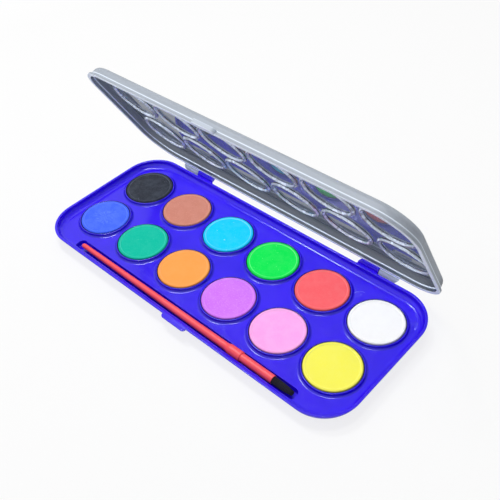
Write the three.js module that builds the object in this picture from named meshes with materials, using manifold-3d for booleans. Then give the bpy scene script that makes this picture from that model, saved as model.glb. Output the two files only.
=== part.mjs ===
// Watercolour paint box: a shallow moulded tray with two rows of round paint cakes in cups, a groove
// with a small brush along its front, and a clear hinged lid that stands open.
// Millimetres. The origin is on the table, under the middle of the grid of cakes. +X runs along the
// long side, +Y points to the hinge and +Z up.

import * as THREE from 'three';
import { mergeVertices } from 'three/addons/utils/BufferGeometryUtils.js';
import Module from 'manifold-3d';

const wasm = await Module();
wasm.setup();

// Driving dimensions of the paint cakes and of the grid that they lie in.
const cakesPerRow = 6;
const cakeDiameter = 28;
const cakeHeight = 5.1;
const cakeBevel = 0.4;
const cakeBorder = 1.4;
const cakeDish = 0.15;
const cakeGap = 0.3;
const ringGapX = 2.9;
const ringGapY = 3.9;

// Driving dimensions of the tray.
const wall = 1;
const ringLip = 0.9;
const ringRound = 0.3;
const ringHeight = 1.7;
const ringFillet = 1;
const cakeProud = 0.5;
const cupRound = 0.8;
const rimHeight = 4.2;
const rimLand = 1;
const rimRound = 0.5;
const flange = 0.8;
const cornerRadius = 20;
const endMargin = 6.75;
const backMargin = 9.2;

// Driving dimensions of the groove for the brush.
const grooveLand = 4;
const grooveToCorner = 5.2;
const grooveCorner = 2.5;
const grooveLedge = 0.2;
const fingerRoom = 2.9;
const floorRoom = 0.3;
const handleRoom = 3.4;
const tipRoom = 1.6;

// Driving dimensions of the brush. Its handle takes the length that the groove leaves.
const brushGap = 0.3;
const handleEndDiameter = 2.8;
const handleDiameter = 4.1;
const collarDiameter = 5.4;
const collarLength = 8;
const collarChamfer = 2;
const collarRound = 0.3;
const socketDepth = 5;
const socketGap = 0.1;
const ferruleDiameter = 4.4;
const ferruleShown = 19.9;
const ferruleWall = 0.25;
const ferruleRound = 0.1;
const plugGap = 0.1;
const plugDepth = 3;
const bristleLength = 12;
const bristleTaper = 0.25;
const bristleRounding = 1.1;
const strandDiameter = 0.14;
const strandCount = 300;

// Driving dimensions of the hinge.
const hingeSetback = 2.95;
const barrelRadius = 2.4;
const partingGap = 0.3;
const hingeFromEnd = 39.2;
const trayKnuckleLength = 10;
const trayGusset = 3;
const lidKnuckleLength = 9.3;
const lidGusset = 3;
const knuckleGap = 0.5;
const pinRadius = 1;
const pinLength = 8;
const pinGap = 0.3;
const boreSlack = 0.5;

// Driving dimensions of the lid, and how far it stands open.
const lidDepth = 7;
const lidEndStep = 0.6;
const lidWall = 1.2;
const lidFlange = 0.8;
const lidFlangeHeight = 1.4;
const lidDraft = 0.5;
const lidRound = 3.2;
const lidRingDiameter = 27.8;
const lidRingWidth = 2;
const lidRingHeight = 1.4;
const lidOpenDegrees = 61.4;

// Driving dimensions of the two tabs that part the box, side by side at the front.
const tabReach = 2;
const tabRound = 1.8;
const trayTabWidth = 16.6;
const trayTabCentre = 8;
const lidTabWidth = 14.5;
const lidTabCentre = -7.3;
const lidTabThickness = 2.2;

// Facets round a turn, round the brush, round one corner of the box and in one small fillet.
const turnSegments = 24;
const brushSegments = 16;
const cornerSegments = 7;
const wallSegments = 5;
const filletSegments = 2;
const strandSides = 3;
const curveSegments = 6;

// Corners nearer to each other than this become one.
const mendTolerance = 0.004;

const overrun = 0.5;
const quarterTurn = Math.PI / 2;

// Places that follow from the driving dimensions.
const cakeRadius = cakeDiameter / 2;
const wellRadius = cakeRadius + cakeGap;
const ringRadius = wellRadius + ringLip;
const pitchX = 2 * ringRadius + ringGapX;
const pitchY = 2 * ringRadius + ringGapY;

const cakeBottom = wall + cakeGap;
const cakeTop = cakeBottom + cakeHeight;
const ringTop = cakeTop - cakeProud;
const floorTop = ringTop - ringHeight;
const floorMiddle = floorTop - wall / 2;
const rimTop = floorTop + rimHeight;
const flangeUnderside = rimTop - flange;

const wallRadius = rimHeight - flange;
const wallInset = rimLand + rimRound;
const floorInset = wallInset + wallRadius;

const collarRadius = collarDiameter / 2;
const grooveBack = -(pitchY / 2 + ringRadius + grooveLand);
const grooveFront = grooveBack - brushGap - collarDiameter - fingerRoom;
const grooveFloorFront = grooveBack - brushGap - collarDiameter - floorRoom;
const ledgeHeight = flangeUnderside + flange / 8;
const grooveLean = (grooveFloorFront - grooveFront) / (ledgeHeight - wall);

const rimBack = pitchY / 2 + ringRadius + backMargin;
const rimFront = grooveFront - grooveLedge - wallInset;
const boxLength = (cakesPerRow - 1) * pitchX + 2 * ringRadius + 2 * endMargin;
const boxWidth = rimBack - rimFront;
const boxCentreY = (rimBack + rimFront) / 2;
const grooveLength = boxLength - 2 * (cornerRadius + grooveToCorner);

const hingeY = rimBack + hingeSetback;
const hingeZ = rimTop + partingGap / 2;
const hingeEndX = boxLength / 2 - hingeFromEnd;

const brushStartX = handleRoom - grooveLength / 2;
const brushTipX = grooveLength / 2 - tipRoom;
const ferruleEndX = brushTipX - bristleLength;
const collarEndX = ferruleEndX - ferruleShown;
const brushY = grooveBack - brushGap - collarRadius;
const brushZ = wall + brushGap + collarRadius;
const ferruleRadius = ferruleDiameter / 2;
const ferruleBore = ferruleRadius - ferruleWall;

// The twelve cakes: the row next to the brush, then the row next to the hinge, left to right.
const frontRow = [
  ['blue', 0x4a6cf2],
  ['teal', 0x0aae90],
  ['orange', 0xf79a48],
  ['violet', 0xcf70ef],
  ['pink', 0xf99fe0],
  ['yellow', 0xf5f05a],
];
const backRow = [
  ['black', 0x34383d],
  ['brown', 0xc77f6c],
  ['cyan', 0x08c4f2],
  ['green', 0x06dc52],
  ['red', 0xf45e62],
  ['white', 0xf4f4f4],
];
const cakes = [frontRow, backRow].flatMap((row, rowIndex) =>
  row.slice(0, cakesPerRow).map(([name, colour], column) => ({
    name: `paint_cake_${name}`,
    colour,
    x: (column - (cakesPerRow - 1) / 2) * pitchX,
    y: (rowIndex - 1 / 2) * pitchY,
  })),
);

// Shapes

// Points on an arc about [across, up], from one angle to another in quarter turns.
function arc(across, up, radius, fromQuarter, toQuarter, segments) {
  const points = [];
  for (let i = 0; i <= segments; i += 1) {
    const angle = (fromQuarter + ((toQuarter - fromQuarter) * i) / segments) * quarterTurn;
    points.push([across + radius * Math.cos(angle), up + radius * Math.sin(angle)]);
  }
  return points;
}

// A body of revolution about Z from [radius, height] points.
function turned(profile, segments = turnSegments, start = 0) {
  const points = profile.map(([radius, height]) => new THREE.Vector2(radius, height));
  return new THREE.LatheGeometry(points, segments, start).rotateX(quarterTurn);
}

// A rectangle with round corners whose section is given as [inset from the edge, height] points.
// It is a turned body pulled apart along X and Y; points at an inset of null stay on the axis.
function panned(profile, length) {
  const segments = 4 * cornerSegments;
  const halfStep = Math.PI / segments;
  const spread = 1 / Math.cos(halfStep);
  const radii = profile.map(([inset, height]) => [
    inset === null ? 0 : (cornerRadius - inset) * spread,
    height,
  ]);
  const geometry = turned(radii, segments, halfStep);
  const places = geometry.attributes.position;
  const pullX = length / 2 - cornerRadius;
  const pullY = boxWidth / 2 - cornerRadius;
  for (let i = 0; i < places.count; i += 1) {
    const x = places.getX(i);
    const y = places.getY(i);
    if (Math.hypot(x, y) > 0) {
      places.setXY(i, x + Math.sign(x) * pullX, y + Math.sign(y) * pullY);
    }
  }
  return geometry.translate(0, boxCentreY, 0);
}

function outline(points) {
  return new THREE.Shape(points.map(([across, up]) => new THREE.Vector2(across, up)));
}

// A plan in X and Y, raised from one height to another.
function raised(plan, low, high) {
  const options = { depth: high - low, bevelEnabled: false, curveSegments };
  const geometry = new THREE.ExtrudeGeometry(plan, options);
  return geometry.translate(0, 0, low);
}

// Turns a shape so that its own X, Y and Z run along Y, Z and X.
function turnedAlongX(geometry) {
  const alongX = new THREE.Matrix4().makeBasis(
    new THREE.Vector3(0, 1, 0),
    new THREE.Vector3(0, 0, 1),
    new THREE.Vector3(1, 0, 0),
  );
  return geometry.applyMatrix4(alongX);
}

// A section in Y and Z, drawn out along X from one place to another.
function drawnOut(section, fromX, toX) {
  return turnedAlongX(raised(section, fromX, toX));
}

// Joining and cutting

function solid(geometry) {
  geometry.deleteAttribute('normal');
  geometry.deleteAttribute('uv');
  const merged = mergeVertices(geometry);
  const corners = merged.index.array;
  const faces = [];
  for (let i = 0; i < corners.length; i += 3) {
    const [a, b, c] = corners.slice(i, i + 3);
    if (a !== b && b !== c && c !== a) {
      faces.push(a, b, c);
    }
  }
  return new wasm.Manifold(
    new wasm.Mesh({
      numProp: 3,
      vertProperties: new Float32Array(merged.attributes.position.array),
      triVerts: new Uint32Array(faces),
    }),
  );
}

function joined(solids) {
  return solids.reduce((whole, next) => whole.add(next));
}

function piece(name, body, colour, roughness, extra = {}) {
  const mesh = body.simplify(mendTolerance).getMesh();
  const geometry = new THREE.BufferGeometry();
  geometry.setAttribute('position', new THREE.BufferAttribute(mesh.vertProperties, mesh.numProp));
  geometry.setIndex(new THREE.BufferAttribute(mesh.triVerts, 1));
  geometry.computeVertexNormals();
  const finish = { color: colour, roughness, metalness: 0, flatShading: true, ...extra };
  const made = new THREE.Mesh(geometry, new THREE.MeshStandardMaterial(finish));
  made.name = name;
  return made;
}

// Tray

// The shell's section: underside, outer wall, flange, flat rim, inner wall and floor.
function trayShell() {
  const profile = [
    [null, floorTop - wall],
    ...arc(floorInset, flangeUnderside, wallRadius + wall, -1, -2, wallSegments),
    [0, flangeUnderside],
    [0, rimTop],
    ...arc(rimLand, rimTop - rimRound, rimRound, 1, 0, filletSegments),
    ...arc(floorInset, flangeUnderside, wallRadius, -2, -1, wallSegments),
    [null, floorTop],
  ];
  return solid(panned(profile, boxLength));
}

// One cup, solid: it hangs below the floor and ends above it in a ring with a fillet at its foot.
function cupAt({ x, y }) {
  const foot = ringRadius + ringFillet;
  const profile = [
    [0, 0],
    ...arc(ringRadius - cupRound, cupRound, cupRound, -1, 0, 1),
    [ringRadius, floorMiddle],
    [foot, floorMiddle],
    ...arc(foot, floorTop + ringFillet, ringFillet, -1, -2, filletSegments),
    ...arc(ringRadius - ringRound, ringTop - ringRound, ringRound, 0, 1, 1),
    [0, ringTop],
  ];
  return solid(turned(profile).translate(x, y, 0));
}

function wellAt({ x, y }) {
  const profile = [
    [0, wall],
    [wellRadius, wall],
    [wellRadius, ringTop + overrun],
    [0, ringTop + overrun],
  ];
  return solid(turned(profile).translate(x, y, 0));
}

// A rectangle with round corners, seen from above, for the groove grown by a margin.
function groovePlan(margin) {
  const plan = new THREE.Shape();
  const right = grooveLength / 2 + margin;
  const back = grooveBack + margin;
  const front = grooveFront - 2 * margin;
  const round = grooveCorner + margin;
  plan.absarc(right - round, back - round, round, 0, quarterTurn);
  plan.absarc(round - right, back - round, round, quarterTurn, 2 * quarterTurn);
  plan.absarc(round - right, front + round, round, 2 * quarterTurn, 3 * quarterTurn);
  plan.absarc(right - round, front + round, round, 3 * quarterTurn, 4 * quarterTurn);
  return plan;
}

// Where the groove's leaning front wall is at a height, grown outwards by a margin.
function grooveFrontAt(height, margin) {
  const outwards = margin * Math.hypot(1, grooveLean);
  return grooveFront + grooveLean * (ledgeHeight - height) - outwards;
}

function grooveSection(points, margin) {
  const halfLength = grooveLength / 2 + margin + overrun;
  const along = solid(drawnOut(outline(points), -halfLength, halfLength));
  return along.intersect(solid(raised(groovePlan(margin), -overrun, rimTop + overrun)));
}

function groove() {
  return grooveSection(
    [
      [grooveFront, rimTop],
      [grooveFront, ledgeHeight],
      [grooveFloorFront, wall],
      [grooveBack, wall],
      [grooveBack, rimTop],
    ],
    0,
  );
}

// The trough round the groove. Its front wall goes up into the flange, and is thicker inwards by
// half a wall than it ends up once the groove is cut.
function trough() {
  return grooveSection(
    [
      [grooveFrontAt(ledgeHeight, wall), ledgeHeight],
      [grooveFrontAt(0, wall), 0],
      [grooveBack + wall, 0],
      [grooveBack + wall, floorMiddle],
      [grooveFrontAt(floorMiddle, -wall / 2), floorMiddle],
      [grooveFrontAt(ledgeHeight, -wall / 2), ledgeHeight],
    ],
    wall,
  );
}

// A tab for the thumb on the front rim, between two heights, with its two outer corners rounded.
function tab(centre, width, edgeY, low, high) {
  const plan = new THREE.Shape();
  const right = centre + width / 2;
  const left = centre - width / 2;
  const outer = edgeY - tabReach;
  plan.moveTo(left, edgeY + rimLand);
  plan.absarc(left + tabRound, outer + tabRound, tabRound, 2 * quarterTurn, 3 * quarterTurn);
  plan.absarc(right - tabRound, outer + tabRound, tabRound, 3 * quarterTurn, 4 * quarterTurn);
  plan.lineTo(right, edgeY + rimLand);
  return solid(raised(plan, low, high));
}

// Hinge

// A knuckle about the hinge line, which is the X axis here. It starts with a square end at startX,
// runs outwards or inwards for its length, and ends in a gusset that spreads to the rim. up is 1 for
// the lid, whose arm lies above the parting plane, and -1 for the tray, whose arm lies below it.
function knuckle(startX, direction, length, gusset, seat, up) {
  const halfGap = partingGap / 2;
  const shoulder = Math.sqrt(barrelRadius ** 2 - halfGap ** 2);
  const armEnd = -(hingeSetback + seat);
  const shoulderAngle = Math.atan2(up * halfGap, -shoulder);
  const section = new THREE.Shape();
  section.moveTo(armEnd, up * halfGap);
  section.absarc(0, 0, barrelRadius, shoulderAngle, up * quarterTurn, up < 0);
  section.lineTo(armEnd, up * barrelRadius);
  const endX = startX + direction * (length + gusset);
  const bar = solid(drawnOut(section, Math.min(startX, endX), Math.max(startX, endX)));
  const barrelEnd = startX + direction * length;
  const plan = outline([
    [startX, armEnd - overrun],
    [startX, barrelRadius + overrun],
    [barrelEnd, barrelRadius + overrun],
    [barrelEnd, 0],
    [endX, -hingeSetback],
    [endX, armEnd - overrun],
  ]);
  return bar.intersect(solid(raised(plan, -barrelRadius - overrun, barrelRadius + overrun)));
}

// A round bar on the hinge line, from a place outwards.
function hingeBar(radius, startX, direction, length) {
  const profile = [
    [0, 0],
    [radius, 0],
    [radius, length],
    [0, length],
  ];
  const bar = turnedAlongX(turned(profile));
  if (direction < 0) {
    bar.rotateZ(2 * quarterTurn);
  }
  return solid(bar.translate(startX, 0, 0));
}

// Each tray knuckle carries a pin that points outwards into the lid's knuckle beside it.
function trayKnuckles() {
  return [-1, 1].flatMap((side) => {
    const endX = side * hingeEndX;
    const pinRoot = endX - side * overrun;
    return [
      knuckle(endX, -side, trayKnuckleLength, trayGusset, rimLand, -1),
      hingeBar(pinRadius, pinRoot, side, pinLength + overrun),
    ];
  });
}

function lidKnuckles() {
  const seat = lidFlange + lidDraft;
  return [-1, 1].map((side) => {
    const startX = side * (hingeEndX + knuckleGap);
    const boreRoot = startX - side * overrun;
    const boreLength = overrun + pinLength + boreSlack;
    const body = knuckle(startX, side, lidKnuckleLength, lidGusset, seat, 1);
    return body.subtract(hingeBar(pinRadius + pinGap, boreRoot, side, boreLength));
  });
}

function makeTray() {
  const filled = joined([trayShell(), trough(), ...cakes.map(cupAt)]);
  const hollow = cakes.map(wellAt).reduce((body, well) => body.subtract(well), filled);
  const knuckles = joined(trayKnuckles()).translate(0, hingeY, hingeZ);
  const thumbTab = tab(trayTabCentre, trayTabWidth, rimFront, flangeUnderside, rimTop);
  return joined([hollow.subtract(groove()), knuckles, thumbTab]);
}

// Lid, modelled closed in a frame whose origin is on the hinge line

const lidRim = partingGap / 2;
const lidTop = lidRim + lidDepth;
const lidCeiling = lidTop - lidWall;
const lidFrontY = rimFront - hingeY;

// The shell's section: ceiling, inner wall, rim, flange, outer wall and top panel.
function lidShell() {
  const shoulder = lidTop - lidRound;
  const panelInset = lidFlange + lidDraft + lidRound;
  const profile = [
    [null, lidCeiling],
    ...arc(panelInset, shoulder, lidRound - lidWall, 1, 2, wallSegments),
    [lidFlange + lidWall, lidRim],
    [0, lidRim],
    [0, lidRim + lidFlangeHeight],
    [lidFlange, lidRim + lidFlangeHeight],
    ...arc(panelInset, shoulder, lidRound, 2, 1, wallSegments),
    [null, lidTop],
  ];
  return solid(panned(profile, boxLength - 2 * lidEndStep).translate(0, -hingeY, 0));
}

// A rounded ring on the ceiling over each cake.
function lidRingAt({ x, y }) {
  const middle = lidRingDiameter / 2;
  const halfWidth = lidRingWidth / 2;
  const halfCrown = halfWidth / 3;
  const crown = lidCeiling - lidRingHeight;
  const root = lidCeiling + lidWall / 2;
  const profile = [
    [middle - halfWidth, root],
    [middle - halfWidth, lidCeiling],
    [middle - halfCrown, crown],
    [middle + halfCrown, crown],
    [middle + halfWidth, lidCeiling],
    [middle + halfWidth, root],
  ];
  return solid(turned([...profile, profile[0]]).translate(x, y - hingeY, 0));
}

function makeLid() {
  const tabTop = lidRim + lidTabThickness;
  const thumbTab = tab(lidTabCentre, lidTabWidth, lidFrontY, lidRim, tabTop);
  return joined([lidShell(), ...cakes.map(lidRingAt), ...lidKnuckles(), thumbTab]);
}

// Paint cakes

function makeCake({ x, y }) {
  const border = cakeRadius - cakeBorder;
  const profile = [
    [0, cakeBottom],
    [cakeRadius, cakeBottom],
    [cakeRadius, cakeTop - cakeBevel],
    [cakeRadius - cakeBevel, cakeTop],
    [border, cakeTop],
    [border - cakeDish, cakeTop - cakeDish],
    [0, cakeTop - cakeDish],
  ];
  return solid(turned(profile).translate(x, y, 0));
}

// Brush, lying along X

function onBrushLine(profile) {
  return turnedAlongX(turned(profile, brushSegments)).translate(0, brushY, brushZ);
}

// The handle tapers to its round end, and its collar holds the socket for the ferrule.
function makeHandle() {
  const endRadius = handleEndDiameter / 2;
  const handleRadius = handleDiameter / 2;
  const collarStartX = collarEndX - collarLength;
  const socketRadius = ferruleRadius + socketGap;
  const socketFloorX = collarEndX - socketDepth;
  const profile = [
    ...arc(0, brushStartX + endRadius, endRadius, -1, 0, 2 * filletSegments),
    [handleRadius, collarStartX - collarChamfer],
    ...arc(collarRadius - collarRound, collarStartX + collarRound, collarRound, -1, 0, filletSegments),
    ...arc(collarRadius - collarRound, collarEndX - collarRound, collarRound, 0, 1, filletSegments),
    [socketRadius, collarEndX],
    [socketRadius, socketFloorX],
    [0, socketFloorX],
  ];
  profile[0][0] = 0;
  return solid(onBrushLine(profile));
}

function makeFerrule() {
  const startX = collarEndX - socketDepth + brushGap;
  const profile = [
    [ferruleBore, startX],
    [ferruleRadius, startX],
    [ferruleRadius, ferruleEndX - ferruleRound],
    [ferruleRadius - ferruleRound, ferruleEndX],
    [ferruleBore, ferruleEndX],
  ];
  return solid(onBrushLine([...profile, profile[0]]));
}

// One strand: a thin tapering prism from a place on the plug's face to a place nearer the axis.
function strand(index) {
  const share = Math.sqrt((index + 1 / 2) / strandCount);
  const goldenAngle = Math.PI * (3 - Math.sqrt(5));
  const angle = index * goldenAngle;
  const radius = (ferruleBore - plugGap - strandDiameter) * share;
  const length = bristleLength - bristleRounding * share ** 2;
  const narrowing = 1 - (bristleTaper * length) / bristleLength;
  const across = new THREE.Vector3(0, Math.cos(angle), Math.sin(angle));
  const root = across.clone().multiplyScalar(radius).setX(ferruleEndX - overrun);
  const tip = across.clone().multiplyScalar(radius * narrowing).setX(ferruleEndX + length);
  const run = tip.clone().sub(root);
  const strandRadius = strandDiameter / 2;
  const geometry = new THREE.CylinderGeometry(
    strandRadius * narrowing,
    strandRadius,
    run.length(),
    strandSides,
  );
  const turn = new THREE.Quaternion();
  turn.setFromUnitVectors(new THREE.Vector3(0, 1, 0), run.clone().normalize());
  const middle = root.add(tip).multiplyScalar(1 / 2);
  geometry.applyQuaternion(turn).translate(middle.x, brushY + middle.y, brushZ + middle.z);
  return solid(geometry);
}

// The strands stand on a plug that fills the end of the ferrule.
function makeBristles() {
  const plugRadius = ferruleBore - plugGap;
  const plug = solid(
    onBrushLine([
      [0, ferruleEndX - plugDepth],
      [plugRadius, ferruleEndX - plugDepth],
      [plugRadius, ferruleEndX],
      [0, ferruleEndX],
    ]),
  );
  const strands = Array.from({ length: strandCount }, (_, index) => strand(index));
  return joined([plug, wasm.Manifold.union(strands)]);
}

// Assembly

const box = new THREE.Group();
box.add(piece('tray', makeTray(), 0x3a2ff0, 0.3));
for (const cake of cakes) {
  box.add(piece(cake.name, makeCake(cake), cake.colour, 0.9));
}
box.add(piece('brush_handle', makeHandle(), 0xfb5c5e, 0.35));
box.add(piece('brush_ferrule', makeFerrule(), 0xfb5c5e, 0.35));
box.add(piece('brush_bristles', makeBristles(), 0x17161c, 0.8));

// The lid turns about the hinge line. At an angle of zero it is closed.
const lidGroup = new THREE.Group();
lidGroup.position.set(0, hingeY, hingeZ);
lidGroup.rotation.x = -THREE.MathUtils.degToRad(lidOpenDegrees);
lidGroup.add(piece('lid', makeLid(), 0xdfe6ee, 0.08, { transparent: true, opacity: 0.35 }));
box.add(lidGroup);

export default box;
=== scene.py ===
# %% [markdown]
# # A watercolour paint box
#
# The object is a shallow blue tray, moulded in one piece, with twelve pressed cakes of paint in round
# cups, a groove with a small brush in front of them, and a clear lid that is hinged along the back.
# The imported model gives every piece its size, its place and its motion. These cells give each piece
# its finished mesh and its finish, attach it to an empty named for its body, and hide the imported
# solid that it stands for.

# %% Load the imported model
import math
import random

import bmesh
import bpy
from mathutils import Euler, Matrix, Quaternion, Vector, noise


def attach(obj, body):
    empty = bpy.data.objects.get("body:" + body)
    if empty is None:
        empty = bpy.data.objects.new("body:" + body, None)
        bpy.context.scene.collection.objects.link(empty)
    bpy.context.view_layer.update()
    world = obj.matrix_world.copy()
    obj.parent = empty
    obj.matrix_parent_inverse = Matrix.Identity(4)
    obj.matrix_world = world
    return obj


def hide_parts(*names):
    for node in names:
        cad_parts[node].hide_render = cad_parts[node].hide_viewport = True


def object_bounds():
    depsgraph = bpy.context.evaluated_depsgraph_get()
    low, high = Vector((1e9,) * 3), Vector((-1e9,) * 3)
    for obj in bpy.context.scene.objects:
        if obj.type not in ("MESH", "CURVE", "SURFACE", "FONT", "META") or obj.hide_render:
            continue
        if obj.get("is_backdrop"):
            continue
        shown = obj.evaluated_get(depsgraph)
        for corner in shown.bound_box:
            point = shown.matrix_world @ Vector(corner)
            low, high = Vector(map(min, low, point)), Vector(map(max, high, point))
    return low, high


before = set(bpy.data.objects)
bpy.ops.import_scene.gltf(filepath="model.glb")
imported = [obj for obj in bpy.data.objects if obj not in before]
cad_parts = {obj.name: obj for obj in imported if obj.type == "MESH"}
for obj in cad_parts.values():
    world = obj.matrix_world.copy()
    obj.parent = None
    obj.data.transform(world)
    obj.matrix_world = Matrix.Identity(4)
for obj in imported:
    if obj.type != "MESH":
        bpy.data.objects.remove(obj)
cad_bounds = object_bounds()

# %% [markdown]
# ## Sizes
#
# Blender works in metres here, and a moulded box is thought of in millimetres, so each size is
# written in millimetres and turned into metres where it gets its name. The origin is on the table
# under the middle of the cakes, with +X along the box, +Y towards the hinge and +Z up.

# %% Units and the grid of cakes
mm = 0.001
quarter = math.pi / 2
full_turn = 2 * math.pi
up = Vector((0, 0, 1))
along = Vector((1, 0, 0))

cakes_per_row = 6
cake_radius = 14 * mm
cake_gap = 0.3 * mm
cup_wall = 0.9 * mm
between_cups_x = 2.9 * mm
between_cups_y = 3.9 * mm
well_radius = cake_radius + cake_gap
ring_radius = well_radius + cup_wall
pitch_x = 2 * ring_radius + between_cups_x
pitch_y = 2 * ring_radius + between_cups_y

front_row = ("blue", "teal", "orange", "violet", "pink", "yellow")
back_row = ("black", "brown", "cyan", "green", "red", "white")
cups = {
    name: Vector(((column - (cakes_per_row - 1) / 2) * pitch_x, (row - 1 / 2) * pitch_y, 0))
    for row, names in enumerate((front_row, back_row))
    for column, name in enumerate(names)
}
print("cups", len(cups), "pitch", round(pitch_x / mm, 2), round(pitch_y / mm, 2))

# %% Heights
wall = 1 * mm
flange = 0.8 * mm
cake_height = 5.1 * mm
cake_proud = 0.5 * mm
ring_height = 1.7 * mm
rim_height = 4.2 * mm

cake_bottom = wall + cake_gap
cake_top = cake_bottom + cake_height
ring_top = cake_top - cake_proud
floor_top = ring_top - ring_height
floor_underside = floor_top - wall
rim_top = floor_top + rim_height
flange_underside = rim_top - flange
print("cakes up to", round(cake_top / mm, 2), "mm, rim up to", round(rim_top / mm, 2), "mm")

# %% The groove, with room for the brush's collar and for a fingertip in front of it
brush_gap = 0.3 * mm
collar_radius = 2.7 * mm
finger_room = 2.9 * mm
groove_land = 4 * mm
collar_room = 2 * collar_radius + brush_gap
groove_back = -(pitch_y / 2 + ring_radius + groove_land)
groove_floor_front = groove_back - collar_room - brush_gap
groove_front = groove_back - collar_room - finger_room
print("groove", round((groove_back - groove_front) / mm, 1), "mm wide at the top")

# %% The rounded rectangle that the tray and the lid share, and the hinge behind it
corner_radius = 20 * mm
rim_land = 1 * mm
rim_round = 0.5 * mm
rim_inset = rim_land + rim_round
end_margin = 6.75 * mm
back_margin = 9.2 * mm
groove_ledge = 0.2 * mm
groove_to_corner = 5.2 * mm

rim_back = pitch_y / 2 + ring_radius + back_margin
rim_front = groove_front - groove_ledge - rim_inset
box_length = (cakes_per_row - 1) * pitch_x + 2 * ring_radius + 2 * end_margin
box_width = rim_back - rim_front
box_centre_y = (rim_back + rim_front) / 2
groove_half = box_length / 2 - corner_radius - groove_to_corner

half_gap = 0.15 * mm
setback = 2.95 * mm
hinge_y = rim_back + setback
hinge_z = rim_top + half_gap
hinge = Vector((0, hinge_y, hinge_z))
print("tray", round(box_length / mm, 1), "by", round(box_width / mm, 1), "mm")

# %% [markdown]
# ## Shader maths
#
# A pattern is easier to read as a sum than as a web of nodes. `Signal` wraps one output socket, and
# adding or multiplying signals adds the Math nodes. `Finish` holds one material with its shader, and
# its one method, `node`, makes every other kind of node.


# %% A socket that can be used in sums
class Signal:
    """One output socket of a node, with the arithmetic that the finishes use."""

    def __init__(self, finish, socket):
        self.finish = finish
        self.socket = socket

    def sum_with(self, operation, *values):
        sockets = dict(enumerate((self, *values)))
        return self.finish.node("ShaderNodeMath", sockets, operation=operation)

    def __add__(self, other):
        return self.sum_with("ADD", other)

    __radd__ = __add__

    def __mul__(self, other):
        return self.sum_with("MULTIPLY", other)

    __rmul__ = __mul__

    def __neg__(self):
        return self * -1

    def __sub__(self, other):
        return self.sum_with("SUBTRACT", other)

    def __rsub__(self, other):
        return -self + other

    def __pow__(self, power):
        return self.sum_with("POWER", power)

    def __abs__(self):
        return self.sum_with("ABSOLUTE")

    def __mod__(self, length):
        return self.sum_with("MODULO", length)

    def or_more(self, other):
        """The larger of two signals."""
        return self.sum_with("MAXIMUM", other)

    def turn_from(self, other):
        """The angle of a point whose two coordinates are the other signal and this one."""
        return self.sum_with("ARCTAN2", other)

    def above(self, edge, softness):
        """0 below the edge and 1 above it, with a soft step between."""
        sockets = {"Value": self, "From Min": edge - softness, "From Max": edge + softness}
        return self.finish.node("ShaderNodeMapRange", sockets, interpolation_type="SMOOTHSTEP")

    def near(self, middle, reach, softness):
        """1 within reach of a value and 0 further off."""
        return 1 - abs(self - middle).above(reach, softness)


def length_of(across, back):
    """How far a point with these two coordinates is from 0."""
    return (across**2 + back**2) ** 0.5


# %% A material, and the one method that adds any node to it
seeing_rays = ("Camera", "Glossy", "Transmission")


def shade(red, green, blue):
    """A colour as it looks on a screen, from 0 to 255, made the linear colour that shaders use."""
    shares = [channel / 255 for channel in (red, green, blue)]
    linear = [s / 12.92 if s <= 0.04045 else ((s + 0.055) / 1.055) ** 2.4 for s in shares]
    return (*linear, 1)


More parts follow.
